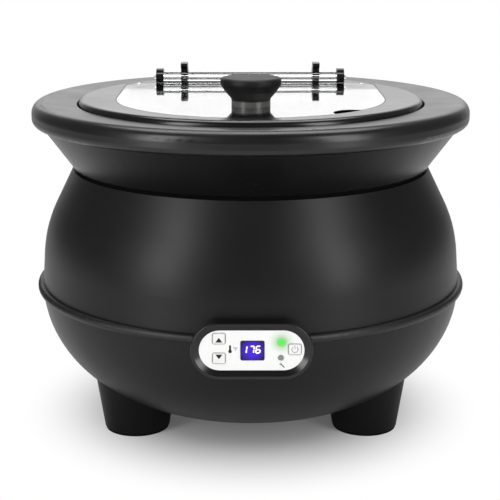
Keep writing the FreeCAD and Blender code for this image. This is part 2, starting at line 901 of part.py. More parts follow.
def lid_frame():
    under = lid_top - lid_thickness
    inside = lid_radius - lid_wall
    points = [(0.0, under), (inside, under), (inside, lid_seat)]
    points += [(lid_radius, lid_seat), (lid_radius, lid_top), (0.0, lid_top)]
    body = turned(points, {4: lid_edge_radius})
    skirt_outer = pot_inner - skirt_gap
    skirt = ring(skirt_outer, skirt_outer - skirt_wall, under - skirt_depth, under + 1.0)
    body = body.fuse(skirt).removeSplitter()
    body = body.cut(flap_outline(flap_half_width, flap_back, flap_corner, ledge_top, lid_top))
    opening = flap_outline(flap_half_width - flap_ledge, window_back, opening_corner, under, lid_top)
    limit = flap_outline(flap_half_width, flap_back, flap_corner, under, lid_top)
    return body.cut(opening).cut(ladle_notch(under, lid_top).common(limit))


def lid_gasket():
    outer = lid_radius - lid_wall - gasket_gap
    return ring(outer, outer - gasket_width, lid_seat, lid_top - lid_thickness)


# Clear flap: plate with the ladle notch, and a hinge barrel on a web along its back
def serving_flap():
    half = flap_half_width - flap_edge_gap
    plate = flap_outline(half, axis_y, flap_corner, flap_bottom, flap_top)
    plate = plate.cut(ladle_notch(flap_bottom, flap_top))
    length = bracket_inner - barrel_gap
    web_points = rectangle(2.0 * length, web_width, (0.0, axis_y - web_width / 2.0))
    web = prism(web_points, None, "xy", flap_bottom, axis_z)
    barrel = bar(barrel_radius, vec(-length, axis_y, axis_z), vec(length, axis_y, axis_z))
    body = plate.fuse([web, barrel]).removeSplitter()
    body = body.cut(bar(pin_radius + running_fit, vec(-length, axis_y, axis_z), vec(length, axis_y, axis_z)))
    return body.cut(bar(bolt_radius + hole_fit, vec(0, knob_y, flap_bottom), vec(0, knob_y, flap_top)))


def hinge_pin():
    reach = bracket_inner + bracket_width + pin_overhang
    return bar(pin_radius, vec(-reach, axis_y, axis_z), vec(reach, axis_y, axis_z))


# Block behind the flap's edge with an eye reaching forward to the pin
def hinge_bracket(side):
    start = side * bracket_inner if side > 0 else -bracket_inner - bracket_width
    end = start + bracket_width
    foot_y = flap_back + bracket_gap
    top = lid_top + bracket_height
    rear = foot_y + bracket_length
    points = [(foot_y, lid_top), (rear, lid_top), (rear, top - bracket_chamfer)]
    points += [(rear - bracket_chamfer, top), (axis_y, top), (axis_y, axis_z)]
    body = prism(points, {3: 3.0, 4: 3.0}, "yz", start, end)
    eye = bar(barrel_radius - eye_gap, vec(start, axis_y, axis_z), vec(end, axis_y, axis_z))
    body = body.fuse(eye).removeSplitter()
    return body.cut(bar(pin_radius, vec(start, axis_y, axis_z), vec(end, axis_y, axis_z)))


# Post behind the barrel whose horn stops the open flap
def flap_stop(side):
    start = side * stop_place - stop_width / 2.0
    front = axis_y + barrel_radius + stop_gap
    top = lid_top + stop_height
    rear = front + stop_length
    horn = front - stop_lean
    points = [(front, lid_top), (rear, lid_top), (rear, lid_top + stop_toe), (front + stop_length / 2.0, top)]
    points += [(horn, top), (horn, top - horn_height), (front, top - 2.0 * horn_height)]
    return prism(points, {3: 4.0, 4: 1.0}, "yz", start, start + stop_width)


# Flat-topped knob with a hollowed underside curve down to its neck
def knob():
    low = flap_top + knob_collar_height
    top = low + knob_height
    points = [(0.0, low), (knob_neck, low), (knob_neck, low + knob_foot), (knob_belly, low + knob_belly_height)]
    points += [(knob_radius, top - knob_rim), (knob_radius, top), (0.0, top)]
    body = turned(points, {2: 1.0, 3: 12.0, 4: 5.0, 5: knob_edge})
    body.translate(vec(0, knob_y, 0))
    return body.cut(bar(bolt_radius, vec(0, knob_y, low), vec(0, knob_y, low + knob_screw_depth + 1.0)))


def knob_collar():
    top = flap_top + knob_collar_height
    body = bar(knob_neck, vec(0, knob_y, flap_top), vec(0, knob_y, top))
    return body.cut(bar(bolt_radius + hole_fit, vec(0, knob_y, flap_top), vec(0, knob_y, top)))


def knob_screw():
    tip = flap_top + knob_collar_height + knob_screw_depth
    return screws([(0.0, knob_y)], bolt_radius, flap_bottom, -screw_head, tip)


nodes = {
    "upper_casing": upper_casing(),
    "lower_casing": lower_casing(),
    "belly_band": belly_band(),
    "casing_joint_ring": casing_joint_ring(),
    "neck_seal": neck_seal(),
    "neck_bolts": neck_bolts(),
    "neck_nuts": neck_nuts(),
    "flared_collar": flared_collar(),
    "rim_ring": rim_ring(),
    "rim_screws": rim_screws(),
    "water_well": water_well(),
    "insulation_wrap": insulation_wrap(),
    "heater_plate": heater_plate(),
    "heating_element": heating_element(),
    "heater_nuts": heater_nuts(),
    "thermal_cutout": thermal_cutout(),
    "temperature_probe": temperature_probe(),
    "probe_clip": probe_clip(),
    "heat_shield": heat_shield(),
    "shield_spacers": shield_spacers(),
    "base_plate": base_plate(),
    "base_screws": base_screws(),
    "power_board": power_board(),
    "board_standoffs": board_standoffs(),
    "heater_relay": heater_relay(),
    "terminal_block": terminal_block(),
    "heater_leads": heater_leads(),
    "foot_pads": foot_pads(),
    "foot_washers": foot_washers(),
    "foot_screws": foot_screws(),
    "panel_bezel": panel_bezel(),
    "control_plate": control_plate(),
    "display_window": display_window(),
    "display_module": display_module(),
    "control_board": control_board(),
    "board_spacers": board_spacers(),
    "key_switches": key_switches(),
    "cord_gland": cord_gland(),
    "gland_nut": gland_nut(),
    "insert_pot": insert_pot(),
    "lid_frame": lid_frame(),
    "lid_gasket": lid_gasket(),
    "serving_flap": serving_flap(),
    "hinge_pin": hinge_pin(),
    "knob": knob(),
    "knob_collar": knob_collar(),
    "knob_screw": knob_screw(),
}
foot_names = ["rear", "left", "right"]
for name, place in zip(foot_names, foot_places):
    nodes[name + "_foot"] = foot(place)
for name, place in key_places.items():
    nodes[name] = key(place)
for name, place in led_places.items():
    nodes[name] = panel_light(place)
for name, side in (("left", -1), ("right", 1)):
    nodes[name + "_hinge_bracket"] = hinge_bracket(side)
    nodes[name + "_flap_stop"] = flap_stop(side)

os.makedirs("parts", exist_ok=True)
for name, shape in nodes.items():
    shape.exportStep("parts/" + name + ".step")
print(len(nodes), "nodes written")
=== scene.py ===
import json
import math

import bpy
import numpy as np
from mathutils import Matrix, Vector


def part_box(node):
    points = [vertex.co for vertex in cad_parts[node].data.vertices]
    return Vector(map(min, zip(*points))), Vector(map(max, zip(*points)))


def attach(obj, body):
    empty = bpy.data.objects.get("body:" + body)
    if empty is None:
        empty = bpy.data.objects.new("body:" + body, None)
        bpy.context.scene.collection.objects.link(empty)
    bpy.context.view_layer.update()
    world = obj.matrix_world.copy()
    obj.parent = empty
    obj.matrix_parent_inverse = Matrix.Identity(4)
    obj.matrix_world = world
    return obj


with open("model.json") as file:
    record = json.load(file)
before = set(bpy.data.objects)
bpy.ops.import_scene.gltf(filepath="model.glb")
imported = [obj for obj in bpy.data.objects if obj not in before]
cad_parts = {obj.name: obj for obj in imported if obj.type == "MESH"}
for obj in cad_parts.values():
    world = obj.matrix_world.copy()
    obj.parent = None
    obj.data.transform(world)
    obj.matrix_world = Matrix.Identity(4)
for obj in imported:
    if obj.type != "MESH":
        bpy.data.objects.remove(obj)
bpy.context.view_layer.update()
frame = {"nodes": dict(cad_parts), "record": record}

nodes = frame["nodes"]
mm = 0.001
print("kettle: frame loaded,", len(nodes), "nodes")


def fromHex(code):
    # sRGB hex to linear: each channel through the sRGB curve
    srgb = np.array([int(code[i:i + 2], 16) for i in (1, 3, 5)]) / 255
    linear = np.where(srgb <= 0.04045, srgb / 12.92, ((srgb + 0.055) / 1.055) ** 2.4)
    return (*linear.tolist(), 1.0)


def addNode(tree, kind, settings=None, links=None):
    # settings go to inputs where the name or number is one, otherwise to the node itself
    node = tree.nodes.new(kind)
    for key, value in (settings or {}).items():
        if isinstance(key, int) or key in node.inputs.keys():
            node.inputs[key].default_value = value
        else:
            setattr(node, key, value)
    for key, source in (links or {}).items():
        tree.links.new(source, node.inputs[key])
    return node


# noise shared by the finishes: most of it lies between low and high
noise = {"low": 0.3, "high": 0.7, "driftDetail": 4.0, "grainDetail": 2.0}


def makeFinish(look):
    # slow noise drifts the colour and the gloss, fine noise on the same place lifts the surface
    finish = bpy.data.materials.new(look["name"])
    finish.use_nodes = True
    tree = finish.node_tree
    shader = tree.nodes["Principled BSDF"]
    place = addNode(tree, "ShaderNodeTexCoord").outputs["Object"]
    drift = addNode(tree, "ShaderNodeTexNoise",
                    {"Scale": 1 / (look["driftMm"] * mm), "Detail": noise["driftDetail"]}, {"Vector": place})
    grainPlace = look["along"](tree, place) if "along" in look else place
    grain = addNode(tree, "ShaderNodeTexNoise",
                    {"Scale": 1 / (look["grainMm"] * mm),
                     "Detail": look.get("grainDetail", noise["grainDetail"])}, {"Vector": grainPlace})
    first, second = look["tones"]
    tone = addNode(tree, "ShaderNodeMix", {"data_type": "RGBA", 6: fromHex(first), 7: fromHex(second)},
                   {0: drift.outputs["Fac"]})
    tree.links.new(tone.outputs[2], shader.inputs["Base Color"])
    smooth, dull = look["rough"]
    gloss = addNode(tree, "ShaderNodeMapRange",
                    {"From Min": noise["low"], "From Max": noise["high"], "To Min": smooth, "To Max": dull},
                    {"Value": drift.outputs["Fac"]})
    tree.links.new(gloss.outputs[0], shader.inputs["Roughness"])
    lift = addNode(tree, "ShaderNodeBump",
                   {"Strength": look.get("bump", 1.0), "Distance": look["grainDepthMm"] * mm},
                   {"Height": grain.outputs["Fac"]})
    tree.links.new(lift.outputs["Normal"], shader.inputs["Normal"])
    for socket, value in look.get("sockets", {}).items():
        shader.inputs[socket].default_value = value
    return {"finish": finish, "tree": tree, "shader": shader, "place": place, "tone": tone}


reachWeight = 0.3  # distances count for less than heights, so that the facets of the wall don't show


def turningLines(tree, place):
    # lines left by spinning: one number from the distance to the axis and the height, the same all round
    flat = addNode(tree, "ShaderNodeVectorMath",
                   {"operation": "MULTIPLY", 1: (reachWeight, reachWeight, 0.0)}, {0: place})
    reach = addNode(tree, "ShaderNodeVectorMath", {"operation": "LENGTH"}, {0: flat.outputs["Vector"]})
    height = addNode(tree, "ShaderNodeSeparateXYZ", {}, {"Vector": place})
    both = addNode(tree, "ShaderNodeCombineXYZ", {}, {"X": reach.outputs["Value"], "Y": height.outputs["Z"]})
    return both.outputs["Vector"]


# powder-coated steel: baked powder flows to a fine orange peel, so the gloss is broad and a little grainy
# real peel is about 1 mm, drawn at 1.6 to show
powderCoat = {"name": "powderCoatedSteelSatinBlack", "tones": ("#0f0f10", "#141415"), "driftMm": 60,
              "rough": (0.37, 0.42), "grainMm": 1.6, "grainDepthMm": 0.035, "bump": 0.5,
              "sockets": {"Specular IOR Level": 0.31}}
# the collar's powder coat, matched smoother and painted blacker as shade under the rim: it mirrors the dark
# shoulder, and floor at its sides
collarCoatShaded = {"name": "powderCoatedSteelSmoothShadedBlack", "tones": ("#0a0a0b", "#0e0e0f"), "driftMm": 60,
              "rough": (0.25, 0.29), "grainMm": 1.6, "grainDepthMm": 0.02, "bump": 0.5,
              "sockets": {"Specular IOR Level": 0.15}}
# ABS moulded in a spark-eroded tool: fine matt grain, softer gloss than the coat
satinAbs = {"name": "absMouldedSatinBlack", "tones": ("#0d0d0e", "#131314"), "driftMm": 45,
            "rough": (0.34, 0.42), "grainMm": 0.9, "grainDepthMm": 0.02, "bump": 0.5,
            "sockets": {"Specular IOR Level": 0.32}}
# the rim's ABS comes from a smoother tool, wiped by hands: more sheen than the feet
rimAbs = {"name": "absMouldedRimBlack", "tones": ("#101011", "#161617"), "driftMm": 40, "rough": (0.27, 0.34),
          "grainMm": 0.9, "grainDepthMm": 0.015, "bump": 0.5}
# ABS feet: darker tones and hardly any sheen, painted shade where they stand under the bowl
footAbsShaded = {"name": "absMouldedFootShadedBlack", "tones": ("#0a0a0b", "#0f0f10"), "driftMm": 45,
           "rough": (0.42, 0.5), "grainMm": 0.9, "grainDepthMm": 0.02, "bump": 0.5,
           "sockets": {"Specular IOR Level": 0.16}}
# phenolic resin pressed in a matt tool: dry and dark, for a hot lid
knobPhenolic = {"name": "phenolicResinMouldedMatt", "tones": ("#0c0c0d", "#111112"), "driftMm": 18,
                "rough": (0.46, 0.54), "grainMm": 0.7, "grainDepthMm": 0.02, "bump": 0.6,
                "sockets": {"Specular IOR Level": 0.34}}
# PP ring pressed over the seam of the bowls, a shade duller than the coat
trimPlastic = {"name": "polypropyleneMouldedBlack", "tones": ("#0f0f0f", "#141415"), "driftMm": 40,
               "rough": (0.42, 0.48), "grainMm": 1.1, "grainDepthMm": 0.02, "bump": 0.5}
# ABS from a stoned tool: a soft sheen with faint wipe marks
polishedAbs = {"name": "absMouldedSheenBlack", "tones": ("#0f0f10", "#151516"), "driftMm": 45,
               "rough": (0.19, 0.24), "grainMm": 14, "grainDepthMm": 0.02, "bump": 0.3}
# galvanised sheet: zinc crystals a few millimetres wide, cool grey
galvanised = {"name": "galvanisedSteelSheet", "tones": ("#9da2a6", "#b9bdc0"), "driftMm": 7,
              "rough": (0.32, 0.45), "grainMm": 4, "grainDepthMm": 0.01, "sockets": {"Metallic": 1.0}}
# EPDM rubber: almost no gloss, so the neck gap reads as a black line
rubber = {"name": "epdmRubberMouldedBlack", "tones": ("#040404", "#070707"), "driftMm": 18,
          "rough": (0.74, 0.86), "grainMm": 0.8, "grainDepthMm": 0.03,
          "sockets": {"Specular IOR Level": 0.08}}
# zinc-plated steel: bright with a bluish passivated cast
zincSteel = {"name": "zincPlatedSteelTurned", "tones": ("#b3b7ba", "#c8cac8"), "driftMm": 5,
             "rough": (0.24, 0.34), "grainMm": 0.4, "grainDepthMm": 0.006, "sockets": {"Metallic": 1.0}}
# stainless spun and brushed on the lathe: fine lines run round the pot, 0.3 mm on the real one, wider to show
spunStainless = {"name": "stainlessSteelSpunBrushed", "tones": ("#bbbab6", "#c8c7c4"), "driftMm": 70,
                 "rough": (0.23, 0.29), "grainMm": 0.9, "grainDepthMm": 0.010,
                 "grainDetail": 1.0, "along": turningLines, "sockets": {"Metallic": 1.0}}
# needled glass felt: pale, matt, clumped fibre
felt = {"name": "glassFeltNeedled", "tones": ("#d8d2bd", "#ece8da"), "driftMm": 12, "rough": (0.88, 0.97),
        "grainMm": 1.8, "grainDepthMm": 0.35, "grainDetail": 6.0}
# sand-cast aluminium: soft grey with a pebbled skin
castAluminium = {"name": "aluminiumSandCast", "tones": ("#9b9d9f", "#b2b3b4"), "driftMm": 14,
                 "rough": (0.45, 0.58), "grainMm": 1.2, "grainDepthMm": 0.06, "sockets": {"Metallic": 1.0}}
# heater sheath: stainless blued and browned by heat
elementSteel = {"name": "stainlessTubeHeatTinted", "tones": ("#6f665a", "#8c857b"), "driftMm": 16,
                "rough": (0.36, 0.48), "grainMm": 0.7, "grainDepthMm": 0.01, "sockets": {"Metallic": 1.0}}
# rolled aluminium sheet: bright and smooth with rolling streaks
sheetAluminium = {"name": "aluminiumRolledSheet", "tones": ("#c3c5c7", "#d2d3d4"), "driftMm": 22,
                  "rough": (0.24, 0.34), "grainMm": 0.6, "grainDepthMm": 0.008, "sockets": {"Metallic": 1.0}}
# PA66 with glass fibre: dark, dry, faintly streaked by the flow in the tool
darkNylon = {"name": "polyamideMouldedDark", "tones": ("#1d1d1e", "#262627"), "driftMm": 9,
             "rough": (0.44, 0.56), "grainMm": 0.6, "grainDepthMm": 0.015}
# PA66 natural: off-white and slightly waxy
whiteNylon = {"name": "polyamideMouldedWhite", "tones": ("#dddacf", "#e9e7df"), "driftMm": 8,
              "rough": (0.36, 0.46), "grainMm": 0.7, "grainDepthMm": 0.01}
# silicone and glass-fibre sleeve: braided, dull red-brown
leadSleeve = {"name": "siliconeGlassSleeveBraided", "tones": ("#7d3a2c", "#94493a"), "driftMm": 4,
              "rough": (0.58, 0.70), "grainMm": 0.8, "grainDepthMm": 0.06}
# FR4 laminate under green solder mask: semi-gloss, copper paths shade it
boardLaminate = {"name": "glassEpoxyLaminateGreen", "tones": ("#12492c", "#1c6a3f"), "driftMm": 5,
                 "rough": (0.26, 0.38), "grainMm": 1.4, "grainDepthMm": 0.02}
# silicone gasket: milky and soft
gasketSilicone = {"name": "siliconeMouldedClear", "tones": ("#d9dad8", "#e6e7e5"), "driftMm": 15,
                  "rough": (0.38, 0.48), "grainMm": 1.0, "grainDepthMm": 0.01,
                  "sockets": {"Transmission Weight": 0.35, "IOR": 1.41}}
# polycarbonate moulded clear: gloss both sides with faint wipe haze
clearPolycarbonate = {"name": "polycarbonateMouldedClear", "tones": ("#fbfcfc", "#fefefe"), "driftMm": 40,
                      "rough": (0.015, 0.045), "grainMm": 60, "grainDepthMm": 0.02, "bump": 0.2,
                      "sockets": {"Transmission Weight": 1.0, "IOR": 1.585}}
# polycarbonate rod drawn clear: hardly seen inside its barrel, so its IOR is matched far below the real 1.585
clearRod = {"name": "polycarbonateDrawnRodClear", "tones": ("#fdfdfd", "#ffffff"), "driftMm": 40,
            "rough": (0.0, 0.02), "grainMm": 60, "grainDepthMm": 0.01, "bump": 0.1,
            "sockets": {"Transmission Weight": 1.0, "IOR": 1.03}}
# ABS moulded grey, under the knob: an even mid grey with a soft sheen
greyAbs = {"name": "absMouldedGrey", "tones": ("#4b4b4a", "#585857"), "driftMm": 9, "rough": (0.28, 0.36),
           "grainMm": 0.8, "grainDepthMm": 0.01}
# polyester key film, printed white behind a matt face: bright and even, without glare
keyFilm = {"name": "polyesterFilmMattWhite", "tones": ("#e4e4e3", "#ededec"), "driftMm": 6,
           "rough": (0.36, 0.44), "grainMm": 0.35, "grainDepthMm": 0.006}
# polycarbonate film over the panel: matt white, with the lit lamp's green glow painted round it
panelFilm = {"name": "polycarbonateFilmMattWhite", "tones": ("#e9e9e8", "#f0f0ef"), "driftMm": 20,
             "rough": (0.34, 0.42), "grainMm": 0.35, "grainDepthMm": 0.006}
# cast acrylic window over a lit display: glossy, near black at its edges and violet-blue in the middle
litWindow = {"name": "acrylicWindowBacklitBlue", "tones": ("#05031a", "#080522"), "driftMm": 6,
             "rough": (0.06, 0.10), "grainMm": 8, "grainDepthMm": 0.005,
             "sockets": {"Specular IOR Level": 0.3}}
# cast epoxy lamp lenses: one glows green, the other is a dull grey bead
litLens = {"name": "epoxyLensLitGreen", "tones": ("#2fbf2a", "#45d83c"), "driftMm": 2, "rough": (0.12, 0.2),
           "grainMm": 1.5, "grainDepthMm": 0.01,
           "sockets": {"Emission Color": fromHex("#38d82e"), "Emission Strength": 0.55}}
dullLens = {"name": "epoxyLensUnlitGrey", "tones": ("#747678", "#8a8c8e"), "driftMm": 2,
            "rough": (0.16, 0.24), "grainMm": 1.5, "grainDepthMm": 0.01}

# one look for each slot of the record, then the looks of single nodes
looks = {"black_coat": powderCoat, "black_trim": trimPlastic, "black_satin_plastic": satinAbs,
         "gloss_black_plastic": polishedAbs, "galvanised_steel": galvanised, "black_rubber": rubber,
         "zinc_steel": zincSteel, "stainless": spunStainless, "insulation_felt": felt,
         "cast_aluminium": castAluminium, "element_steel": elementSteel, "sheet_aluminium": sheetAluminium,
         "dark_plastic": darkNylon, "white_plastic": whiteNylon, "lead_sleeve": leadSleeve,
         "circuit_board": boardLaminate, "clear_silicone": gasketSilicone,
         "clear_polycarbonate": clearPolycarbonate, "grey_plastic": greyAbs, "key_film": keyFilm,
         "panel_film": panelFilm, "smoked_window": litWindow, "green_lens": litLens, "grey_lens": dullLens,
         "rim": rimAbs, "knob": knobPhenolic, "collar": collarCoatShaded, "foot": footAbsShaded, "rod": clearRod}
# nodes that differ from the rest of their slot
nodeLooks = {"knob": "knob", "rim_ring": "rim", "panel_bezel": "gloss_black_plastic",
             "flared_collar": "collar", "hinge_pin": "rod",
             "left_foot": "foot", "right_foot": "foot", "rear_foot": "foot"}
made = {key: makeFinish(look) for key, look in looks.items()}
for entry in frame["record"]["subparts"]:
    node = nodes[entry["node"]]
    node.data.materials.clear()
    node.data.materials.append(made[nodeLooks.get(entry["node"], entry["material_slot"])]["finish"])
print("kettle:", len(made), "finishes on the CAD nodes")

# faces of the panel come from the CAD boxes, in metres; marks are set out from its centre, x and z
panelMiddle = (0.0, 0.1152)
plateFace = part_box("control_plate")[0][1]
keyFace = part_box("up_key")[0][1]
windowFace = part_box("display_window")[0][1]

# painted light spilled from the lit lamp onto the film: strong by the lens, gone at 12 mm
spill = {"near": 0.0018, "far": 0.012, "tint": "#7cc272", "bend": 0.5}
plateParts = made["panel_film"]
tree = plateParts["tree"]
lampLow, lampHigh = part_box("ready_light")
lampMiddle = ((lampLow[0] + lampHigh[0]) / 2, plateFace, (lampLow[2] + lampHigh[2]) / 2)
gap = addNode(tree, "ShaderNodeVectorMath", {"operation": "DISTANCE", 1: lampMiddle},
              {0: plateParts["place"]})
glow = addNode(tree, "ShaderNodeMapRange",
               {"From Min": spill["near"], "From Max": spill["far"], "To Min": 1.0, "To Max": 0.0},
               {"Value": gap.outputs["Value"]})
eased = addNode(tree, "ShaderNodeMath", {"operation": "POWER", 1: 1 / spill["bend"]}, {0: glow.outputs[0]})
# painted glow: the lamp's green light mixed into the film's colour near the lens
paintedGlow = addNode(tree, "ShaderNodeMix", {"data_type": "RGBA", 7: fromHex(spill["tint"])},
                 {0: eased.outputs[0], 6: plateParts["tone"].outputs[2]})
tree.links.new(paintedGlow.outputs[2], plateParts["shader"].inputs["Base Color"])

# backlight behind the window: brightest in the middle, dark at its edges
backlight = {"middle": "#431ad6", "edge": "#160b38", "start": 0.003, "reach": 0.0115, "strength": 1.1}
windowParts = made["smoked_window"]
tree = windowParts["tree"]
windowLow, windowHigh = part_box("display_window")
windowMiddle = ((windowLow[0] + windowHigh[0]) / 2, windowFace, (windowLow[2] + windowHigh[2]) / 2)
away = addNode(tree, "ShaderNodeVectorMath", {"operation": "DISTANCE", 1: windowMiddle},
               {0: windowParts["place"]})
fade = addNode(tree, "ShaderNodeMapRange",
               {"interpolation_type": "SMOOTHSTEP", "From Min": backlight["start"],
                "From Max": backlight["reach"], "To Min": 1.0, "To Max": 0.0},
               {"Value": away.outputs["Value"]})
shine = addNode(tree, "ShaderNodeMix",
                {"data_type": "RGBA", 6: fromHex(backlight["edge"]), 7: fromHex(backlight["middle"])},
                {0: fade.outputs[0]})
tree.links.new(shine.outputs[2], windowParts["shader"].inputs["Emission Color"])
windowParts["shader"].inputs["Emission Strength"].default_value = backlight["strength"]
print("kettle: panel light set")


def roundOutline(x, z, radius, steps=40):
    # circle: the centre plus radius times cosine and sine of even angles
    turn = np.linspace(0, 2 * np.pi, steps, endpoint=False)
    return np.stack([x + radius * np.cos(turn), z + radius * np.sin(turn)], axis=1)


def arcPath(x, z, radius, start, stop, steps=40):
    # arc: points at even angles between start and stop, in degrees from +x
    turn = np.radians(np.linspace(start, stop, steps))
    return np.stack([x + radius * np.cos(turn), z + radius * np.sin(turn)], axis=1)


def strokeOutline(path, width):
    # ribbon: each point of the path pushed half the width to its left, then back along its right
    path = np.asarray(path, float)
    run = np.gradient(path, axis=0)
    side = np.stack([-run[:, 1], run[:, 0]], axis=1) / np.linalg.norm(run, axis=1, keepdims=True) * width / 2
    return np.concatenate([path + side, (path - side)[::-1]])


def barStroke(first, last, width):
    # straight ribbon: three even points between two ends
    return strokeOutline(np.linspace(first, last, 3), width)


inkThick = 0.00006  # metres, before and behind the face


def printMarks(name, outlines, face, body, finish):
    # prism: each flat outline (mm from the panel centre) stands before the face and again behind it
    points, faces, start = [], [], 0
    for outline in outlines:
        outline = np.asarray(outline, float)
        area = np.sum(outline[:, 0] * np.roll(outline[:, 1], -1) - np.roll(outline[:, 0], -1) * outline[:, 1])
        outline = outline if area > 0 else outline[::-1]
        count = len(outline)
        x, z = outline[:, 0] * mm + panelMiddle[0], outline[:, 1] * mm + panelMiddle[1]
        front = np.stack([x, np.full(count, face - inkThick), z], axis=1)
        back = np.stack([x, np.full(count, face + inkThick), z], axis=1)
        points += [front, back]
        i = np.arange(count)
        j = np.roll(i, -1)
        faces.append((start + i).tolist())
        faces.append((start + count + i[::-1]).tolist())
        faces += np.stack([start + i, start + count + i, start + count + j, start + j], axis=1).tolist()
        start += 2 * count
    mesh = bpy.data.meshes.new(name)
    mesh.from_pydata(np.concatenate(points).tolist(), [], faces)
    mesh.materials.append(finish)
    piece = bpy.data.objects.new(name, mesh)
    bpy.context.scene.collection.objects.link(piece)
    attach(piece, body)


# screen-printed inks: flat and slightly raised, a little patchy
ink = {"driftMm": 1.5, "rough": (0.42, 0.52), "grainMm": 0.3, "grainDepthMm": 0.006}
blackInk = makeFinish({"name": "screenInkBlack", "tones": ("#101010", "#1a1a1a"), **ink})["finish"]
greyInk = makeFinish({"name": "screenInkGrey", "tones": ("#8f8f8f", "#9d9d9d"), **ink})["finish"]

arrows = {"width": 5.3, "height": 3.8, "up": (-25.0, 8.5), "down": (-25.0, -5.0)}
for name, sign in (("up", 1), ("down", -1)):
    x, z = arrows[name]
    half, tall = arrows["width"] / 2, arrows["height"] / 2 * sign
    triangle = [(x - half, z - tall), (x + half, z - tall), (x, z + tall)]
    printMarks(name + "KeyArrow", [triangle], keyFace, name + "_key", blackInk)

# thin printed line just inside the edge of each key: four runs and four corner arcs
keyLines = {"line": 0.36, "inset": 0.3, "corner": 0.8, "cornerSteps": 8}
for name in ("up_key", "down_key", "power_key"):
    low, high = np.array(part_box(name))
    r, line = keyLines["corner"], keyLines["line"]
    inward = np.array([1, -1]) * (keyLines["inset"] + r)
    x0, x1 = (np.array([low[0], high[0]]) - panelMiddle[0]) / mm + inward
    z0, z1 = (np.array([low[2], high[2]]) - panelMiddle[1]) / mm + inward
    runs = [((x0, z0 - r), (x1, z0 - r)), ((x1 + r, z0), (x1 + r, z1)),
            ((x1, z1 + r), (x0, z1 + r)), ((x0 - r, z1), (x0 - r, z0))]
    bends = [(x1, z0, 270), (x1, z1, 0), (x0, z1, 90), (x0, z0, 180)]
    strokes = [barStroke(first, last, line) for first, last in runs]
    strokes += [strokeOutline(arcPath(x, z, r, turn, turn + 90, keyLines["cornerSteps"]), line)
                for x, z, turn in bends]
    printMarks(name + "Line", strokes, keyFace, name, greyInk)

# the stem starts inside the bulb
thermometer = {"at": (-16.5, 1.0), "tall": 6.2, "bulb": 1.35, "stem": 1.5, "sunk": 0.9}
x, z = thermometer["at"]
low, high = z - thermometer["tall"] / 2, z + thermometer["tall"] / 2
bulb = roundOutline(x, low + thermometer["bulb"], thermometer["bulb"])
stemFoot = low + 2 * thermometer["bulb"] - thermometer["sunk"]
stem = barStroke((x, stemFoot), (x, high), thermometer["stem"])
printMarks("thermometerMark", [bulb, stem], plateFace, "base", blackInk)

# a small ring, a stem and two arms
degree = {"at": (-12.0, 1.2), "tall": 2.6, "line": 0.42, "ring": 0.5, "ringLine": 0.28,
          "ringLeft": 1.5, "ringDrop": 0.3, "stemLeft": 0.3, "armLeft": 0.1,
          "topReach": 1.2, "midReach": 0.9, "midRise": 0.1}
x, z = degree["at"]
half, line = degree["tall"] / 2, degree["line"]
stemX, armX = x - degree["stemLeft"], x - degree["armLeft"]
topZ, midZ = z + half - line / 2, z + degree["midRise"]
ring = arcPath(x - degree["ringLeft"], z + half - degree["ringDrop"], degree["ring"], 0, 359)
printMarks("degreeMark", [strokeOutline(ring, degree["ringLine"]),
                          barStroke((stemX, z - half), (stemX, z + half), line),
                          barStroke((armX, topZ), (x + degree["topReach"], topZ), line),
                          barStroke((armX, midZ), (x + degree["midReach"], midZ), line)],
           plateFace, "base", greyInk)

# a slanted handle with an open jaw at its upper end
wrench = {"at": (23.3, -12.0), "long": 5.0, "line": 0.75, "slant": 0.7, "neck": 0.5, "jawAt": 0.8,
          "jaw": 0.62, "jawLine": 0.45, "jawFrom": 190, "jawTo": 440}
x, z = wrench["at"]
reach = wrench["long"] / 2 * wrench["slant"]
neck, jawAt = reach * wrench["neck"], reach * wrench["jawAt"]
handle = barStroke((x + reach, z - reach), (x - neck, z + neck), wrench["line"])
jaw = arcPath(x - jawAt, z + jawAt, wrench["jaw"], wrench["jawFrom"], wrench["jawTo"])
printMarks("serviceMark", [handle, strokeOutline(jaw, wrench["jawLine"])],
           plateFace, "base", blackInk)

# a ring open at the top with a bar in the gap
powerSign = {"at": (33.0, 0.9), "radius": 2.4, "line": 0.55, "gap": 34, "barFrom": 0.4, "barTo": 3.2}
x, z = powerSign["at"]
ring = arcPath(x, z, powerSign["radius"], 90 + powerSign["gap"], 450 - powerSign["gap"])
bar = barStroke((x, z + powerSign["barFrom"]), (x, z + powerSign["barTo"]), powerSign["line"])
printMarks("powerMark", [strokeOutline(ring, powerSign["line"]), bar],
           keyFace, "power_key", greyInk)
print("kettle: marks printed")

# display figures: seven bars each, leaning to the right, lit from behind
figures = {"places": (("1", -5.4), ("7", 0.2), ("6", 4.9)), "middle": 0.8, "tall": 5.4, "wide": 3.0,
           "line": 1.0, "lean": 0.13, "pullIn": 0.25}
barsLit = {"1": "bc", "7": "abc", "6": "acdefg"}
w, h = figures["wide"] / 2, figures["tall"] / 2
barEnds = {"a": ((-w, h), (w, h)), "b": ((w, h), (w, 0)), "c": ((w, 0), (w, -h)), "d": ((w, -h), (-w, -h)),
           "e": ((-w, -h), (-w, 0)), "f": ((-w, 0), (-w, h)), "g": ((-w, 0), (w, 0))}


def barOutline(first, last, x, z):
    # bar: a ribbon between two corners, drawn in a little at each end and leaning with its height
    first, last = np.array(first), np.array(last)
    pull = (last - first) / np.linalg.norm(last - first) * figures["pullIn"]
    ribbon = barStroke(first + pull, last - pull, figures["line"])
    return np.stack([ribbon[:, 0] + x + ribbon[:, 1] * figures["lean"], ribbon[:, 1] + z], axis=1)


litBars = [barOutline(*barEnds[bar], x, figures["middle"])
           for digit, x in figures["places"] for bar in barsLit[digit]]
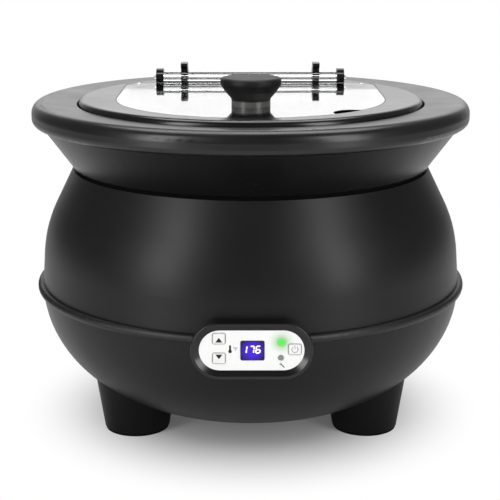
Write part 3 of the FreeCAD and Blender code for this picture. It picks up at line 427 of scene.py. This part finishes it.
# light-emitting segments, cast in epoxy: near white with a violet cast
segment = makeFinish({"name": "lightSegmentsWhiteViolet", "tones": ("#dcd6f4", "#efe4fb"), "driftMm": 3,
                      "rough": (0.3, 0.4), "grainMm": 2, "grainDepthMm": 0.004,
                      "sockets": {"Emission Color": fromHex("#eadcff"), "Emission Strength": 0.9}})["finish"]
printMarks("displayFigures", litBars, windowFace, "base", segment)
print("kettle: display lit")

# floor: paper near the object so that its shadow lies there, plain white light further out, in metres
ground = {"radius": 2.6, "rings": 60, "spokes": 96, "crowd": 1.5, "paper": "#cccccc", "rough": 0.9,
          "gloss": 0.1, "near": 0.09, "far": 0.215, "least": 0.08,
          "behindFrom": -0.15, "behindTo": 0.25, "mirrorNear": 0.38, "mirrorFar": 0.62}
# disc: distance times cosine and sine of the angle, on rings and spokes, closed by one point in the middle
spokes = ground["spokes"]
ringAt, turn = np.meshgrid(np.linspace(0, 1, ground["rings"]) ** ground["crowd"] * ground["radius"],
                           np.linspace(0, 2 * np.pi, spokes, endpoint=False), indexing="ij")
grid = np.stack([ringAt * np.cos(turn), ringAt * np.sin(turn), np.zeros_like(turn)], axis=-1)
disc = grid[1:].reshape(-1, 3)
a, b = np.meshgrid(np.arange(ground["rings"] - 2), np.arange(spokes), indexing="ij")
c = (b + 1) % spokes
corners = [a * spokes + b, (a + 1) * spokes + b, (a + 1) * spokes + c, a * spokes + c]
quads = np.stack(corners, axis=-1).reshape(-1, 4)
spoke = np.arange(spokes)
middleFan = np.stack([np.full_like(spoke, len(disc)), spoke, np.roll(spoke, -1)], axis=1)
floorMesh = bpy.data.meshes.new("studioFloor")
floorMesh.from_pydata(disc.tolist() + [[0.0, 0.0, 0.0]], [], quads.tolist() + middleFan.tolist())
floor = bpy.data.objects.new("studioFloor", floorMesh)
bpy.context.scene.collection.objects.link(floor)

# studio paper: matt and pale, a plain white light where the lens and reflections look far out
paper = bpy.data.materials.new("studioPaperMattPale")
paper.use_nodes = True
tree = paper.node_tree
shader = tree.nodes["Principled BSDF"]
shader.inputs["Base Color"].default_value = fromHex(ground["paper"])
shader.inputs["Roughness"].default_value = ground["rough"]
shader.inputs["Specular IOR Level"].default_value = ground["gloss"]
place = addNode(tree, "ShaderNodeTexCoord").outputs["Object"]
far = addNode(tree, "ShaderNodeVectorMath", {"operation": "LENGTH"}, {0: place})
blendOut = addNode(tree, "ShaderNodeMapRange",
                   {"interpolation_type": "SMOOTHSTEP", "From Min": ground["near"], "From Max": ground["far"],
                    "To Min": ground["least"]}, {"Value": far.outputs["Value"]})
# reflections show white behind the object and paper in front of it
path = addNode(tree, "ShaderNodeLightPath")
depthAt = addNode(tree, "ShaderNodeSeparateXYZ", {}, {"Vector": place})
behind = addNode(tree, "ShaderNodeMapRange",
                 {"From Min": ground["behindFrom"], "From Max": ground["behindTo"]},
                 {"Value": depthAt.outputs["Y"]})
mirrorShare = addNode(tree, "ShaderNodeMath", {"operation": "MULTIPLY"},
                      {0: path.outputs["Is Glossy Ray"], 1: behind.outputs[0]})
# that white fades with distance, so the sides of the bowls stay dark
fading = addNode(tree, "ShaderNodeMapRange",
                 {"interpolation_type": "SMOOTHSTEP", "From Min": ground["mirrorNear"],
                  "From Max": ground["mirrorFar"], "To Min": 1.0, "To Max": 0.0},
                 {"Value": far.outputs["Value"]})
mirrorFade = addNode(tree, "ShaderNodeMath", {"operation": "MULTIPLY"},
                     {0: mirrorShare.outputs[0], 1: fading.outputs[0]})
seen = addNode(tree, "ShaderNodeMath", {"operation": "MAXIMUM"},
               {0: path.outputs["Is Camera Ray"], 1: mirrorFade.outputs[0]})
seenToo = addNode(tree, "ShaderNodeMath", {"operation": "MAXIMUM"},
                  {0: seen.outputs[0], 1: path.outputs["Is Transmission Ray"]})
share = addNode(tree, "ShaderNodeMath", {"operation": "MULTIPLY"},
                {0: seenToo.outputs[0], 1: blendOut.outputs[0]})
white = addNode(tree, "ShaderNodeEmission", {"Color": (1, 1, 1, 1), "Strength": 1.0})
mixed = addNode(tree, "ShaderNodeMixShader", {},
                {0: share.outputs[0], 1: shader.outputs[0], 2: white.outputs[0]})
tree.links.new(mixed.outputs[0], tree.nodes["Material Output"].inputs["Surface"])
floorMesh.materials.append(paper)
print("kettle: floor laid")

# room light: white for the lens; in reflections pale behind, dim in front and under the ceiling
room = {"ambient": 0.52, "front": 0.13, "back": 0.7, "high": 0.15,
        "backFrom": 0.72, "backTo": 0.97, "ceilingFrom": 0.6, "ceilingTo": 0.85}
world = bpy.data.worlds.new("studioRoom")
bpy.context.scene.world = world
world.use_nodes = True
tree = world.node_tree
backdrop = tree.nodes["Background"]
aim = addNode(tree, "ShaderNodeTexCoord").outputs["Generated"]
facing = addNode(tree, "ShaderNodeSeparateXYZ", {}, {"Vector": aim})
depth = addNode(tree, "ShaderNodeMapRange",
                {"interpolation_type": "SMOOTHSTEP", "From Min": room["backFrom"], "From Max": room["backTo"],
                 "To Min": room["front"], "To Max": room["back"]}, {"Value": facing.outputs["Y"]})
ceiling = addNode(tree, "ShaderNodeMapRange",
                  {"interpolation_type": "SMOOTHSTEP", "From Min": room["ceilingFrom"],
                   "From Max": room["ceilingTo"], "To Min": 1.0, "To Max": room["high"]},
                  {"Value": facing.outputs["Z"]})
shaded = addNode(tree, "ShaderNodeMath", {"operation": "MULTIPLY"},
                 {0: depth.outputs[0], 1: ceiling.outputs[0]})
path = addNode(tree, "ShaderNodeLightPath")
mirrored = addNode(tree, "ShaderNodeMix", {"data_type": "FLOAT", 2: room["ambient"]},
                   {0: path.outputs["Is Glossy Ray"], 3: shaded.outputs[0]})
through = addNode(tree, "ShaderNodeMath", {"operation": "MAXIMUM"},
                  {0: path.outputs["Is Camera Ray"], 1: path.outputs["Is Transmission Ray"]})
level = addNode(tree, "ShaderNodeMix", {"data_type": "FLOAT", 3: 1.0},
                {0: through.outputs[0], 2: mirrored.outputs[0]})
tree.links.new(level.outputs[0], backdrop.inputs["Strength"])
backdrop.inputs["Color"].default_value = (1, 1, 1, 1)

# softboxes: place, what each looks at, width, height and brightness
softboxes = {"leftBox": ((-1.15, -1.11, 0.8), (0, 0, 0.2), 0.5, 1.5, 6.0),
             "rightBox": ((1.15, -1.11, 0.8), (0, 0, 0.2), 0.5, 1.5, 5.6),
             "overhead": ((0.0, 0.35, 1.7), (0, 0, 0.27), 1.8, 0.8, 4.8),
             "backBox": ((0.0, 2.2, 1.1), (0, 0, 0.29), 2.4, 1.1, 0.82)}
for name, (at, target, wide, tall, bright) in softboxes.items():
    lamp = bpy.data.lights.new(name, "AREA")
    lamp.shape = "RECTANGLE"
    lamp.size, lamp.size_y = wide, tall
    lamp.energy = bright * math.pi * wide * tall  # radiance times pi times area
    box = bpy.data.objects.new(name, lamp)
    run = np.array(target) - np.array(at)
    box.location = at
    pitch, heading = math.acos(-run[2] / np.linalg.norm(run)), math.atan2(run[1], run[0]) - math.pi / 2
    box.rotation_euler = (pitch, 0.0, heading)
    box.visible_camera = False
    bpy.context.scene.collection.objects.link(box)
print("kettle: lamps placed")

# camera solved from the outlines of the photograph: metres, degrees, and millimetres for the lens
lens = {"away": 1.1114, "high": 0.4319, "tilt": 75.51, "turn": 0.25, "focal": 91.447, "sensor": 36.0,
        "aside": 0.00047}  # aside is in radians
view = bpy.data.cameras.new("productView")
view.lens, view.sensor_width = lens["focal"], lens["sensor"]
camera = bpy.data.objects.new("productView", view)
swing = math.radians(lens["turn"])
camera.location = (-lens["away"] * math.sin(swing), -lens["away"] * math.cos(swing), lens["high"])
camera.rotation_euler = (math.radians(lens["tilt"]), 0.0, -swing + lens["aside"])
bpy.context.scene.collection.objects.link(camera)
bpy.context.scene.camera = camera
bpy.context.scene.view_settings.view_transform = "Standard"
print("kettle: camera set")
